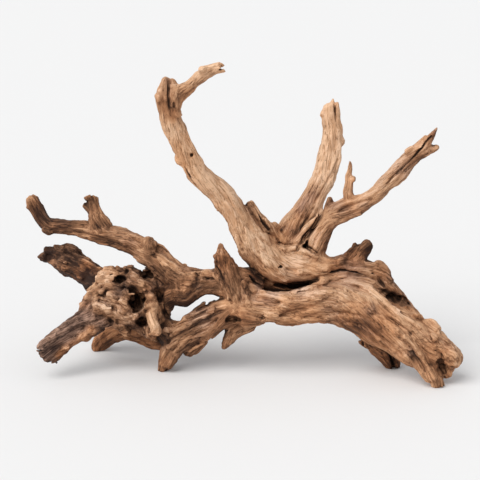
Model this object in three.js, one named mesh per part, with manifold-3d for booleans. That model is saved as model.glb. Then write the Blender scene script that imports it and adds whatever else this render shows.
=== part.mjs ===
// A piece of driftwood: one weathered root with a long trunk, three limbs that rise from it, a hollow burl
// on the left with more limbs, and stubby roots that it stands on.
// Millimetres, +Z up. +X runs along the length of the piece and -Y is its front. The origin is on the ground
// under the middle of the piece.

import * as THREE from "three";
import { mergeVertices } from "three/addons/utils/BufferGeometryUtils.js";
import Module from "manifold-3d";

// Where the origin lies in the frame that the limbs are drawn in.
const MIDDLE_X = -1;
const MIDDLE_Y = -9;

// The ground cuts every foot flat at this height, so the piece stands without rocking.
const GROUND = 0;

// How closely the surface is divided.
const RING_STEP = 15;
const SIDE_STEP = 10;
const FEWEST_SIDES = 7;
const MOST_SIDES = 16;

// The worn grain: long ridges that wind slowly round each limb, as shares of its radius.
const RIDGE_DEPTH = 0.075;
const SECOND_RIDGE_DEPTH = 0.04;
const RIDGE_TURNS_PER_METRE = 3;
const SWELL_DEPTH = 0.035;
const SWELL_LENGTH = 47;

// Size of the block that is cut away below the ground.
const GROUND_BLOCK = 900;

// Colour and finish of the bare wood.
const WOOD_COLOUR = 0x9c7450;
const WOOD_ROUGHNESS = 0.88;

// Each limb is a row of stations along its middle: x, y, z, then half its width as seen from the front and
// half its depth.
const TRUNK = {
  body: [
    [-14, -31, 92, 15, 15],
    [8, -34, 89, 23, 21],
    [34, -34, 90, 21, 20],
    [64, -32, 88, 21, 21],
    [94, -29, 94, 24, 25],
    [126, -29, 97, 27, 29],
    [155, -33, 87, 31, 31],
    [184, -41, 73, 32, 31],
    [213, -51, 60, 32, 30],
    [235, -61, 48, 29, 26],
    [256, -67, 41, 23, 22],
    [268, -70, 35, 15, 17],
  ],
  back_rim: [
    [93, -11, 139, 19, 18],
    [125, -11, 142, 12, 16],
    [158, -8, 139, 11, 16],
    [184, -8, 128, 12, 16],
    [197, -14, 115, 10, 14],
    [208, -22, 103, 8, 13],
    [217, -31, 93, 8, 12],
    [227, -39, 80, 9, 13],
    [243, -51, 65, 10, 13],
  ],
  back_shelf: [
    [2, -12, 104, 12, 12],
    [34, 4, 104, 13, 14],
    [66, 6, 104, 13, 15],
    [98, 4, 110, 15, 16],
    [132, 3, 113, 17, 16],
    [160, 2, 111, 17, 16],
    [184, -3, 100, 16, 15],
    [204, -20, 85, 14, 14],
    [222, -38, 64, 13, 14],
  ],
  inner_rim: [
    [104, -13, 120, 15, 17],
    [138, -14, 121, 17, 18],
    [165, -15, 116, 17, 18],
    [188, -20, 104, 14, 16],
  ],
  inner_layer: [
    [-4, -14, 131, 10, 10],
    [16, -9, 127, 11, 11],
    [36, -4, 119, 12, 12],
    [60, -2, 112, 12, 12],
  ],
  stub: [
    [140, -8, 139, 14, 16],
    [152, -5, 149, 13, 14],
    [161, -3, 158, 10, 11],
    [169, -2, 164, 8, 9],
  ],
  end_lobe: [
    [244, -61, 51, 19, 19],
    [266, -67, 39, 16, 15],
    [278, -68, 32, 11, 12],
  ],
  toe: [
    [246, -69, 44, 15, 15],
    [260, -74, 27, 10, 11],
    [268, -75, 15, 6, 8],
  ],
  front_foot: [
    [212, -63, 64, 17, 17],
    [230, -71, 42, 13, 14],
    [243, -78, 24, 11, 13],
    [252, -82, 12, 9, 11],
    [256, -83, -1, 8, 10],
  ],
  back_foot: [
    [175, -23, 48, 18, 18],
    [190, -15, 27, 13, 14],
    [201, -10, 8, 10, 12],
    [205, -8, -5, 7, 9],
  ],
};

const TALL_LIMB = {
  body: [
    [108, -13, 139, 17, 18],
    [83, -13, 140, 21, 21],
    [56, -15, 142, 23, 22],
    [31, -18, 158, 24, 22],
    [13, -23, 184, 21, 20],
    [-4, -29, 215, 17, 17],
    [-23, -38, 243, 16, 16],
    [-44, -45, 264, 14, 15],
    [-60, -52, 284, 14, 14],
    [-69, -58, 304, 14, 13],
    [-79, -64, 328, 14, 13],
    [-87, -69, 351, 14, 12],
    [-90, -72, 368, 13, 12],
    [-90, -74, 382, 12, 11],
    [-89, -75, 393, 8, 8],
  ],
  left_peak: [
    [-87, -69, 356, 10, 11],
    [-93, -74, 376, 9, 11],
    [-94, -75, 388, 6, 10],
    [-91, -76, 400, 3, 6],
  ],
  right_peak: [
    [-84, -72, 357, 10, 10],
    [-80, -74, 376, 8, 9],
    [-81, -75, 388, 6, 8],
    [-83, -75, 397, 3, 5],
  ],
  twig: [
    [-82, -74, 367, 9, 10],
    [-74, -78, 382, 9, 9],
    [-61, -86, 392, 7, 8],
    [-47, -96, 406, 8, 8],
    [-34, -105, 414, 7, 7],
    [-22, -112, 420, 6, 6],
  ],
  ragged_fin: [
    [46, -9, 173, 13, 12],
    [32, -14, 196, 10, 9],
    [20, -20, 215, 8, 8],
    [12, -24, 228, 5, 5],
  ],
};

const MIDDLE_LIMB = {
  body: [
    [51, -5, 158, 21, 18],
    [63, 7, 172, 22, 20],
    [78, 21, 192, 19, 19],
    [94, 36, 215, 16, 17],
    [104, 44, 231, 15, 16],
    [113, 52, 248, 15, 15],
    [118, 57, 266, 15, 15],
    [122, 62, 283, 15, 14],
    [123, 66, 302, 12, 13],
    [122, 70, 320, 12, 12],
    [122, 73, 335, 10, 10],
  ],
  left_spike: [
    [119, 73, 329, 7, 7],
    [122, 75, 341, 3, 4],
    [123, 76, 348, 1, 1],
  ],
  right_spike: [
    [127, 70, 329, 6, 7],
    [129, 72, 339, 3, 4],
    [129, 73, 344, 2, 3],
  ],
  flake: [
    [68, -9, 162, 10, 10],
    [83, -7, 181, 7, 9],
    [96, -4, 199, 4, 6],
    [102, -4, 206, 2, 3],
  ],
  crotch_web: [
    [74, 6, 154, 14, 10],
    [86, 14, 174, 12, 9],
    [98, 22, 192, 9, 8],
    [106, 29, 205, 6, 6],
  ],
  left_knob: [
    [118, 72, 324, 7, 7],
    [111, 73, 329, 4, 5],
  ],
  right_knob: [
    [128, 65, 290, 8, 9],
    [137, 64, 293, 5, 6],
  ],
};

const RIGHT_LIMB = {
  body: [
    [91, -11, 141, 18, 18],
    [99, -7, 162, 14, 16],
    [105, -8, 184, 14, 15],
    [117, -12, 204, 13, 13],
    [138, -19, 215, 10, 11],
    [158, -30, 229, 10, 11],
    [176, -42, 247, 11, 11],
    [190, -53, 266, 11, 10],
    [204, -65, 286, 11, 10],
    [218, -75, 303, 11, 9],
    [230, -82, 314, 10, 9],
  ],
  upper_strand: [
    [107, -8, 203, 10, 10],
    [121, -12, 217, 8, 10],
    [136, -17, 226, 8, 9],
    [150, -23, 232, 7, 8],
    [167, -33, 241, 6, 8],
    [182, -45, 259, 6, 7],
  ],
  twig: [
    [143, -19, 229, 8, 8],
    [141, -17, 241, 6, 7],
    [140, -15, 254, 5, 6],
    [141, -13, 268, 4, 4],
    [141, -11, 281, 2, 2],
  ],
  thorn: [
    [111, -9, 208, 10, 10],
    [116, -8, 221, 6, 6],
    [117, -7, 232, 2, 2],
  ],
  upper_prong: [
    [221, -77, 310, 6, 7],
    [228, -82, 322, 4, 5],
    [231, -85, 329, 1, 2],
  ],
  long_prong: [
    [227, -81, 312, 7, 7],
    [236, -87, 325, 5, 5],
    [240, -91, 333, 3, 4],
    [243, -95, 341, 1, 1],
  ],
  lower_prong: [
    [229, -79, 308, 6, 7],
    [237, -82, 311, 5, 6],
    [244, -85, 314, 2, 3],
  ],
};

const LEFT_BOUGH = {
  body: [
    [-8, -29, 113, 15, 14],
    [-26, -25, 122, 16, 15],
    [-45, -20, 124, 16, 16],
    [-66, -16, 122, 18, 18],
    [-83, -11, 126, 20, 18],
    [-98, -6, 137, 18, 17],
    [-111, 1, 149, 17, 17],
    [-126, 8, 157, 16, 15],
    [-145, 18, 166, 15, 15],
    [-167, 27, 170, 15, 14],
    [-192, 37, 174, 13, 13],
    [-218, 47, 177, 10, 11],
    [-240, 55, 177, 10, 10],
    [-257, 60, 178, 10, 10],
    [-268, 64, 188, 9, 9],
    [-274, 67, 200, 9, 9],
    [-280, 70, 211, 7, 7],
  ],
  bough_knob: [
    [-120, 2, 156, 12, 12],
    [-118, -2, 166, 8, 8],
  ],
  forked_stub: [
    [-183, 33, 180, 15, 13],
    [-191, 34, 194, 12, 11],
    [-196, 36, 209, 10, 9],
    [-198, 37, 219, 9, 7],
  ],
  stub_horn: [
    [-196, 34, 203, 7, 7],
    [-204, 36, 210, 6, 6],
    [-209, 36, 213, 4, 5],
  ],
};

const LEFT_ROOTS = {
  bridge: [
    [-106, -18, 94, 16, 14],
    [-88, -24, 105, 15, 13],
    [-71, -26, 103, 14, 12],
    [-57, -27, 113, 12, 12],
    [-39, -28, 118, 10, 11],
    [-18, -30, 119, 10, 10],
  ],
  thorn: [
    [3, -37, 97, 19, 14],
    [-8, -37, 122, 18, 14],
    [-17, -36, 141, 16, 13],
    [-21, -35, 151, 13, 11],
    [-23, -35, 160, 8, 8],
    [-25, -34, 168, 5, 6],
    [-25, -34, 177, 2, 3],
  ],
  saddle: [
    [-9, -33, 134, 11, 11],
    [7, -28, 131, 12, 13],
    [24, -21, 120, 12, 13],
  ],
  lower_root: [
    [8, -33, 90, 19, 17],
    [-14, -33, 86, 20, 17],
    [-37, -31, 74, 21, 17],
    [-57, -29, 60, 20, 18],
    [-74, -27, 48, 20, 17],
    [-87, -25, 35, 15, 14],
    [-96, -24, 19, 10, 12],
    [-103, -23, -1, 6, 8],
  ],
  front_cord: [
    [-3, -42, 95, 10, 8],
    [-17, -44, 85, 7, 8],
    [-31, -42, 69, 6, 8],
    [-46, -37, 53, 6, 6],
  ],
  second_toe: [
    [-87, -29, 28, 10, 10],
    [-91, -31, 14, 6, 7],
    [-93, -32, 6, 4, 5],
  ],
  heel: [
    [-54, -19, 44, 14, 13],
    [-64, -16, 30, 10, 10],
    [-68, -15, 23, 5, 6],
  ],
  peg: [
    [11, -27, 71, 16, 13],
    [-5, -29, 60, 12, 10],
    [-16, -30, 46, 7, 8],
    [-21, -31, 33, 2, 3],
  ],
  rear_root: [
    [-91, -11, 38, 14, 13],
    [-113, 5, 32, 12, 12],
    [-135, 22, 33, 12, 12],
    [-158, 39, 33, 12, 12],
    [-178, 52, 23, 13, 13],
    [-193, 59, 9, 11, 11],
    [-197, 62, -4, 9, 10],
  ],
};

const BURL = {
  body: [
    [-204, -15, 81, 17, 16],
    [-187, -12, 92, 32, 25],
    [-164, -11, 98, 38, 31],
    [-143, -13, 96, 40, 33],
    [-125, -15, 86, 34, 29],
    [-110, -17, 66, 20, 21],
    [-91, -21, 48, 18, 17],
  ],
  brow: [
    [-172, -6, 123, 12, 13],
    [-150, -4, 124, 12, 14],
    [-132, -2, 125, 12, 14],
    [-114, -1, 126, 11, 13],
  ],
  pale_peg: [
    [-120, -42, 90, 8, 9],
    [-114, -52, 81, 7, 8],
    [-107, -63, 71, 7, 7],
  ],
  rear_limb: [
    [-179, 9, 107, 22, 20],
    [-198, 28, 114, 19, 19],
    [-217, 47, 121, 19, 18],
    [-235, 64, 126, 18, 17],
    [-250, 78, 128, 14, 14],
    [-261, 87, 127, 9, 10],
    [-271, 95, 123, 6, 6],
  ],
  low_limb: [
    [-185, -13, 78, 25, 21],
    [-202, -23, 69, 22, 17],
    [-219, -35, 58, 19, 14],
    [-236, -46, 47, 19, 12],
    [-249, -55, 38, 16, 10],
  ],
};

const SMALL_KNOBS = {
  tall_limb_edge: [
    [-70, -56, 298, 8, 8],
    [-79, -57, 296, 6, 6],
  ],
};

// Splits and grooves are drawn as thin limbs that are then cut away.
const SPLITS = {
  tall_tip: [
    [-85, -84, 402, 1.5, 9],
    [-88, -83, 380, 1.5, 9],
    [-88, -82, 361, 1.5, 8],
    [-84, -81, 351, 1, 4],
  ],
  middle_tip: [
    [126, 65, 347, 1.5, 6],
    [126, 62, 334, 1.5, 6],
    [128, 58, 321, 1, 4],
  ],
  right_limb: [
    [236, -93, 330, 1.5, 8],
    [223, -88, 313, 1.5, 7],
    [213, -81, 298, 1.5, 6],
    [196, -68, 277, 1, 4],
  ],
  limb_crotch: [
    [108, -10, 228, 3, 12],
    [105, -13, 210, 3, 12],
    [91, -17, 186, 3, 11],
    [76, -25, 167, 2, 8],
  ],
  trunk_hollow: [
    [174, -36, 121, 3, 8],
    [188, -38, 113, 7, 13],
    [203, -44, 102, 9, 16],
    [215, -49, 95, 7, 13],
    [227, -53, 91, 2, 5],
  ],
  end_notch: [
    [258, -92, 29, 2, 6],
    [262, -90, 22, 4, 9],
    [267, -88, 12, 3, 6],
  ],
  low_face: [
    [-198, -47, 70, 9, 10],
    [-219, -58, 56, 12, 13],
    [-238, -68, 43, 11, 12],
    [-257, -78, 31, 9, 10],
  ],
};

// Round hollows in the burl: x, y, z, then half the width, depth and height.
const PITS = [
  [-162, -33, 133, 9, 20, 6],
  [-123, -22, 136, 10, 18, 8],
  [-136, -44, 105, 11, 30, 16],
  [-105, -42, 112, 5, 14, 9],
  [-130, -45, 74, 9, 14, 7],
];

const wasm = await Module();
wasm.setup();

// A closed three.js geometry as a solid that can be joined and cut.
function solidOf(geometry) {
  const shape = geometry.clone();
  shape.deleteAttribute("normal");
  shape.deleteAttribute("uv");
  const merged = mergeVertices(shape, 1e-3);
  const vertProperties = merged.attributes.position.array;
  const triVerts = new Uint32Array(merged.index.array);
  return new wasm.Manifold(new wasm.Mesh({ numProp: 3, vertProperties, triVerts }));
}

// Share of the plain radius at an angle round the limb and a distance along it.
function grain(angle, along, seed) {
  const wind = 2 * Math.PI * RIDGE_TURNS_PER_METRE * along * 0.001;
  const ridges = RIDGE_DEPTH * Math.cos(5 * angle + wind + seed);
  const second = SECOND_RIDGE_DEPTH * Math.cos(3 * angle - 2 * wind + 2 * seed);
  const swell = SWELL_DEPTH * Math.sin((2 * Math.PI * along) / SWELL_LENGTH + 3 * seed);
  return 1 + ridges + second + swell;
}

// One limb: rings of points along a smooth line through its stations, closed at both ends.
function limb(stations, seed, relief = 1) {
  const line = new THREE.CatmullRomCurve3(
    stations.map(([x, y, z]) => new THREE.Vector3(x - MIDDLE_X, y - MIDDLE_Y, z)),
  );
  const length = line.getLength();
  const spans = stations.length - 1;
  const rings = Math.max(spans + 1, Math.ceil(length / RING_STEP) + 1);
  const widest = Math.max(...stations.map((station) => station[3] + station[4])) / 2;
  const girth = (2 * Math.PI * widest) / SIDE_STEP;
  const sides = THREE.MathUtils.clamp(Math.round(girth), FEWEST_SIDES, MOST_SIDES);
  const front = new THREE.Vector3(0, 1, 0);
  const points = [];
  for (let ring = 0; ring < rings; ring += 1) {
    const share = ring / (rings - 1);
    const place = Math.min(Math.floor(share * spans), spans - 1);
    const blend = share * spans - place;
    const halfWidth = THREE.MathUtils.lerp(stations[place][3], stations[place + 1][3], blend);
    const halfDepth = THREE.MathUtils.lerp(stations[place][4], stations[place + 1][4], blend);
    const centre = line.getPoint(share);
    const heading = line.getTangent(share);
    const across = new THREE.Vector3().crossVectors(heading, front).normalize();
    const through = new THREE.Vector3().crossVectors(across, heading).normalize();
    for (let side = 0; side < sides; side += 1) {
      const angle = (2 * Math.PI * side) / sides;
      const size = 1 + relief * (grain(angle, share * length, seed) - 1);
      const point = centre.clone();
      point.addScaledVector(across, halfWidth * size * Math.cos(angle));
      point.addScaledVector(through, halfDepth * size * Math.sin(angle));
      points.push(point);
    }
  }
  points.push(line.getPoint(0), line.getPoint(1));
  const first = rings * sides;
  const faces = [];
  for (let side = 0; side < sides; side += 1) {
    const next = (side + 1) % sides;
    for (let ring = 0; ring < rings - 1; ring += 1) {
      const low = ring * sides;
      const high = low + sides;
      faces.push(low + side, low + next, high + next);
      faces.push(low + side, high + next, high + side);
    }
    const last = (rings - 1) * sides;
    faces.push(first, next, side);
    faces.push(first + 1, last + side, last + next);
  }
  const geometry = new THREE.BufferGeometry().setFromPoints(points);
  geometry.setIndex(faces);
  const solid = solidOf(geometry);
  if (solid.volume() > 0) return solid;
  geometry.setIndex(faces.reverse());
  return solidOf(geometry);
}

// A rounded hollow.
function pit([x, y, z, halfWidth, halfDepth, halfHeight]) {
  const ball = new THREE.IcosahedronGeometry(1, 2);
  ball.scale(halfWidth, halfDepth, halfHeight);
  ball.translate(x - MIDDLE_X, y - MIDDLE_Y, z);
  return solidOf(ball);
}

// The block of ground that the feet are cut flat against.
function groundBlock() {
  const block = new THREE.BoxGeometry(GROUND_BLOCK, GROUND_BLOCK, GROUND_BLOCK);
  block.translate(0, 0, GROUND - GROUND_BLOCK / 2);
  return solidOf(block);
}

// All the limbs joined, then the splits, hollows and ground cut away. Loose scraps are dropped.
function driftwood() {
  const groups = [
    TRUNK,
    TALL_LIMB,
    MIDDLE_LIMB,
    RIGHT_LIMB,
    LEFT_BOUGH,
    LEFT_ROOTS,
    BURL,
    SMALL_KNOBS,
  ];
  const limbs = groups.flatMap((group) => Object.values(group));
  let wood = limbs
    .map((stations, index) => limb(stations, index))
    .reduce((joined, next) => joined.add(next));
  for (const stations of Object.values(SPLITS)) wood = wood.subtract(limb(stations, 0, 0));
  for (const hollow of PITS) wood = wood.subtract(pit(hollow));
  const bodies = wood.subtract(groundBlock()).decompose();
  return bodies.reduce((largest, body) => (body.volume() > largest.volume() ? body : largest));
}

// The solid as a mesh with its own bare wood.
function woodMesh(solid) {
  const { vertProperties, triVerts } = solid.getMesh();
  const geometry = new THREE.BufferGeometry();
  geometry.setAttribute("position", new THREE.BufferAttribute(vertProperties, 3));
  geometry.setIndex(new THREE.BufferAttribute(triVerts, 1));
  geometry.computeVertexNormals();
  const material = new THREE.MeshStandardMaterial({
    color: WOOD_COLOUR,
    roughness: WOOD_ROUGHNESS,
    metalness: 0,
  });
  const mesh = new THREE.Mesh(geometry, material);
  mesh.name = "driftwood";
  return mesh;
}

const part = new THREE.Group();
part.add(woodMesh(driftwood()));

export default part;
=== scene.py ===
"""A piece of driftwood: one weathered root, grown as one, on a plain pale floor."""

import math

import bpy
import numpy as np
import openvdb
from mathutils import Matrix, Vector


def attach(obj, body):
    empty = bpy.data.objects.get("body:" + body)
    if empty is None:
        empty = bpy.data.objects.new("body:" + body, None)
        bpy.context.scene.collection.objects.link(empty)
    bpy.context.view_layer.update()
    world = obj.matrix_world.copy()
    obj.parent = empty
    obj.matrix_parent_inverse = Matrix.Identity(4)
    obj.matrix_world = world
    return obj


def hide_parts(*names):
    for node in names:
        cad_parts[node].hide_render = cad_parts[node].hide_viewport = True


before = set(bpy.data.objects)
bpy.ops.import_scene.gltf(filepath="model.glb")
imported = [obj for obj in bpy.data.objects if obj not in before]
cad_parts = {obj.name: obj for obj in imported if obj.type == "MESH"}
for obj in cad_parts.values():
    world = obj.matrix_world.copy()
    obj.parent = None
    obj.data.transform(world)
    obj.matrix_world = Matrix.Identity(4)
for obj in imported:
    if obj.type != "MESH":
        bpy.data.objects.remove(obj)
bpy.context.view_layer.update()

# The limbs, in millimetres. Each row of a limb is one station: its place (x to the right, y to the
# back, z up), half its width seen from the front, and half its depth.
TO_ORIGIN = np.array([1.0, 9.0, 0.0])

TRUNK = {
    "body": [
        (-14, -31, 92, 15, 15), (8, -34, 89, 23, 21), (34, -34, 90, 21, 20), (64, -32, 88, 21, 21),
        (94, -29, 94, 24, 25), (126, -29, 97, 27, 29), (155, -33, 87, 31, 31),
        (184, -41, 73, 32, 31), (213, -51, 60, 32, 30), (235, -61, 48, 29, 26),
        (256, -67, 41, 23, 22), (268, -70, 35, 15, 17),
    ],
    "back_rim": [
        (93, -11, 139, 19, 18), (125, -11, 142, 12, 16), (158, -8, 139, 11, 16),
        (184, -8, 128, 12, 16), (197, -14, 115, 10, 14), (208, -22, 103, 8, 13),
        (217, -31, 93, 8, 12), (227, -39, 80, 9, 13), (243, -51, 65, 10, 13),
    ],
    "back_shelf": [
        (2, -12, 104, 12, 12), (34, 4, 104, 13, 14), (66, 6, 104, 13, 15), (98, 4, 110, 15, 16),
        (132, 3, 113, 17, 16), (160, 2, 111, 17, 16), (184, -3, 100, 16, 15),
        (204, -20, 85, 14, 14), (222, -38, 64, 13, 14),
    ],
    "inner_rim": [
        (104, -13, 120, 15, 17), (138, -14, 121, 17, 18), (165, -15, 116, 17, 18),
        (188, -20, 104, 14, 16),
    ],
    "inner_layer": [
        (-4, -14, 131, 10, 10), (16, -9, 127, 11, 11), (36, -4, 119, 12, 12), (60, -2, 112, 12, 12),
    ],
    "stub": [
        (140, -8, 139, 14, 16), (152, -5, 149, 13, 14), (161, -3, 158, 10, 11),
        (169, -2, 164, 8, 9),
    ],
    "end_lobe": [
        (244, -61, 51, 19, 19), (266, -67, 39, 16, 15), (278, -68, 32, 11, 12),
    ],
    "toe": [
        (246, -69, 44, 15, 15), (260, -74, 27, 10, 11), (268, -75, 15, 6, 8),
    ],
    "front_foot": [
        (212, -63, 64, 17, 17), (230, -71, 42, 13, 14), (243, -78, 24, 11, 13),
        (252, -82, 12, 9, 11), (256, -83, -1, 8, 10),
    ],
    "back_foot": [
        (175, -23, 48, 18, 18), (190, -15, 27, 13, 14), (201, -10, 8, 10, 12), (205, -8, -5, 7, 9),
    ],
}

TALL_LIMB = {
    "body": [
        (108, -13, 139, 17, 18), (83, -13, 140, 21, 21), (56, -15, 142, 23, 22),
        (31, -18, 158, 24, 22), (13, -23, 184, 21, 20), (-4, -29, 215, 17, 17),
        (-23, -38, 243, 16, 16), (-44, -45, 264, 14, 15), (-60, -52, 284, 14, 14),
        (-69, -58, 304, 14, 13), (-79, -64, 328, 14, 13), (-87, -69, 351, 14, 12),
        (-90, -72, 368, 13, 12), (-90, -74, 382, 12, 11), (-89, -75, 393, 8, 8),
    ],
    "left_peak": [
        (-87, -69, 356, 10, 11), (-93, -74, 376, 9, 11), (-94, -75, 388, 6, 10),
        (-91, -76, 400, 3, 6),
    ],
    "right_peak": [
        (-84, -72, 357, 10, 10), (-80, -74, 376, 8, 9), (-81, -75, 388, 6, 8),
        (-83, -75, 397, 3, 5),
    ],
    "twig": [
        (-82, -74, 367, 9, 10), (-74, -78, 382, 9, 9), (-61, -86, 392, 7, 8), (-47, -96, 406, 8, 8),
        (-34, -105, 414, 7, 7), (-22, -112, 420, 6.5, 6),
    ],
    "ragged_fin": [
        (46, -9, 173, 13, 12), (32, -14, 196, 10, 9), (20, -20, 215, 8, 8), (12, -24, 228, 5, 5),
    ],
}

MIDDLE_LIMB = {
    "body": [
        (51, -5, 158, 21, 18), (63, 7, 172, 22, 20), (78, 21, 192, 19, 19), (94, 36, 215, 16, 17),
        (104, 44, 231, 15, 16), (113, 52, 248, 15, 15), (118, 57, 266, 15, 15),
        (122, 62, 283, 15, 14), (123, 66, 302, 12, 13), (122, 70, 320, 12, 12),
        (122, 73, 335, 10, 10),
    ],
    "left_spike": [
        (119, 73, 329, 7, 7), (122, 75, 341, 3, 4), (123, 76, 348, 1, 1),
    ],
    "right_spike": [
        (127, 70, 329, 6, 7), (129, 72, 339, 3, 4), (129, 73, 344, 2, 3),
    ],
    "flake": [
        (68, -9, 162, 10, 10), (83, -7, 181, 7, 9), (96, -4, 199, 4, 6), (102, -4, 206, 2, 3),
    ],
    "crotch_web": [
        (74, 6, 154, 14, 10), (86, 14, 174, 12, 9), (98, 22, 192, 9, 8), (106, 29, 205, 6, 6),
    ],
    "left_knob": [
        (118, 72, 324, 7, 7), (109, 73, 329, 4.5, 5),
    ],
    "right_knob": [
        (128, 65, 290, 8, 9), (138, 64, 294, 5.5, 6),
    ],
}

RIGHT_LIMB = {
    "body": [
        (91, -11, 141, 18, 18), (99, -7, 162, 14, 16), (105, -8, 184, 14, 15),
        (117, -12, 204, 13, 13), (138, -19, 215, 10, 11), (158, -30, 229, 10, 11),
        (176, -42, 247, 11, 11), (190, -53, 266, 11, 10), (204, -65, 286, 11, 10),
        (218, -75, 303, 11, 9), (230, -82, 314, 10, 9),
    ],
    "upper_strand": [
        (107, -8, 203, 10, 10), (121, -12, 217, 8, 10), (136, -17, 226, 8, 9),
        (150, -23, 232, 7, 8), (167, -33, 241, 6, 8), (182, -45, 259, 6, 7),
    ],
    "twig": [
        (143, -19, 229, 8.5, 8), (140, -17, 241, 6.5, 7), (141, -15, 254, 5.5, 6),
        (140, -14, 262, 5, 5), (142, -13, 270, 3.6, 4), (141, -11, 281, 1.6, 2),
    ],
    "thorn": [
        (111, -9, 208, 10, 10), (116, -8, 221, 6, 6), (117, -7, 232, 2, 2),
    ],
    "upper_prong": [
        (221, -77, 310, 6, 7), (228, -82, 322, 4, 5), (231, -85, 329, 1, 2),
    ],
    "long_prong": [
        (227, -81, 312, 7, 7), (236, -87, 325, 5, 5), (240, -91, 333, 3, 4), (243, -95, 341, 1, 1),
    ],
    "lower_prong": [
        (229, -79, 308, 6, 7), (237, -82, 311, 5, 6), (244, -85, 314, 2, 3),
    ],
}

LEFT_BOUGH = {
    "body": [
        (-8, -29, 113, 15, 14), (-26, -25, 122, 16, 15), (-45, -20, 124, 16, 16),
        (-66, -16, 122, 18, 18), (-83, -11, 126, 20, 18), (-98, -6, 137, 18, 17),
        (-111, 1, 149, 17, 17), (-126, 8, 157, 16, 15), (-145, 18, 166, 15, 15),
        (-167, 27, 170, 15, 14), (-192, 37, 174, 13, 13), (-218, 47, 177, 10, 11),
        (-240, 55, 177, 10, 10), (-257, 60, 178, 10, 10), (-268, 64, 188, 9, 9),
        (-274, 67, 200, 9, 9), (-280, 70, 211, 7, 7),
    ],
    "bough_knob": [
        (-120, 2, 156, 12, 12), (-118, -2, 166, 8, 8),
    ],
    "forked_stub": [
        (-183, 33, 180, 15, 13), (-191, 34, 194, 12, 11), (-196, 36, 209, 10, 9),
        (-198, 37, 219, 9, 7),
    ],
    "stub_horn": [
        (-196, 34, 203, 7, 7), (-204, 36, 210, 6, 6), (-209, 36, 213, 4, 5),
    ],
}

LEFT_ROOTS = {
    "bridge": [
        (-106, -18, 94, 16, 14), (-88, -24, 105, 15, 13), (-71, -26, 103, 14, 12),
        (-57, -27, 113, 12, 12), (-39, -28, 118, 10, 11), (-18, -30, 119, 10, 10),
    ],
    "thorn": [
        (3, -37, 97, 19, 14), (-8, -37, 122, 18, 14), (-17, -36, 141, 16, 13),
        (-21, -35, 151, 13, 11), (-23, -35, 160, 8, 8), (-25, -34, 168, 5, 6),
        (-25, -34, 177, 2, 3),
    ],
    "saddle": [
        (-9, -33, 134, 11, 11), (7, -28, 131, 12, 13), (24, -21, 120, 12, 13),
    ],
    "lower_root": [
        (8, -33, 90, 19, 17), (-14, -33, 86, 20, 17), (-37, -31, 74, 21, 17),
        (-57, -29, 60, 20, 18), (-74, -27, 48, 20, 17), (-87, -25, 35, 15, 14),
        (-96, -24, 19, 10, 12), (-103, -23, -1, 6, 8),
    ],
    "front_cord": [
        (-3, -42, 95, 10, 8), (-17, -44, 85, 7, 8), (-31, -42, 69, 6, 8), (-46, -37, 53, 6, 6),
    ],
    "second_toe": [
        (-87, -29, 28, 10, 10), (-91, -31, 14, 6, 7), (-93, -32, 6, 4, 5),
    ],
    "heel": [
        (-54, -19, 44, 14, 13), (-64, -16, 30, 10, 10), (-68, -15, 23, 5, 6),
    ],
    "peg": [
        (11, -27, 71, 16, 13), (-5, -29, 60, 12, 10), (-16, -30, 46, 7, 8), (-21, -31, 33, 2, 3),
    ],
    "rear_root": [
        (-91, -11, 38, 14, 13), (-113, 5, 32, 12, 12), (-135, 22, 33, 12, 12),
        (-158, 39, 33, 12, 12), (-178, 52, 23, 13, 13), (-193, 59, 9, 11, 11),
        (-197, 62, -4, 9, 10),
    ],
}

BURL = {
    "body": [
        (-193, -14, 78, 17, 16), (-180, -12, 90, 25, 25), (-162, -11, 98, 36, 31),
        (-143, -13, 96, 40, 33), (-125, -15, 86, 34, 29), (-110, -17, 66, 20, 21),
        (-91, -21, 48, 18, 17),
    ],
    "brow": [
        (-172, -6, 121, 12, 13), (-150, -4, 120, 12, 14), (-132, -3, 119, 11, 14),
        (-114, -1, 123, 11, 13),
    ],
    "pale_peg": [
        (-117, -44, 84, 9, 9), (-112, -54, 77, 8.5, 8), (-107, -62, 71, 6.5, 7),
    ],
    "rear_limb": [
        (-179, 9, 107, 22, 20), (-198, 28, 114, 19, 19), (-217, 47, 121, 19, 18),
        (-235, 64, 126, 18, 17), (-250, 78, 128, 14, 14), (-261, 87, 127, 9, 10),
        (-271, 95, 123, 6, 6),
    ],
    "low_limb": [
        (-183, -13, 76, 22, 21), (-201, -23, 66.5, 19, 17), (-219, -35, 57, 17.5, 14),
        (-236, -46, 47, 19.5, 12), (-250, -56, 38, 18.5, 10),
    ],
}

SMALL_KNOBS = {
    "tall_limb_edge": [
        (-70, -56, 294, 9, 8), (-80.5, -57, 292, 7, 7),
    ],
    "rim_back": [
        (188, -4, 112, 10, 11), (204, -8, 101, 10, 12), (216, -17, 89, 9, 11),
        (226, -30, 78, 8, 10),
    ],
}

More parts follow.
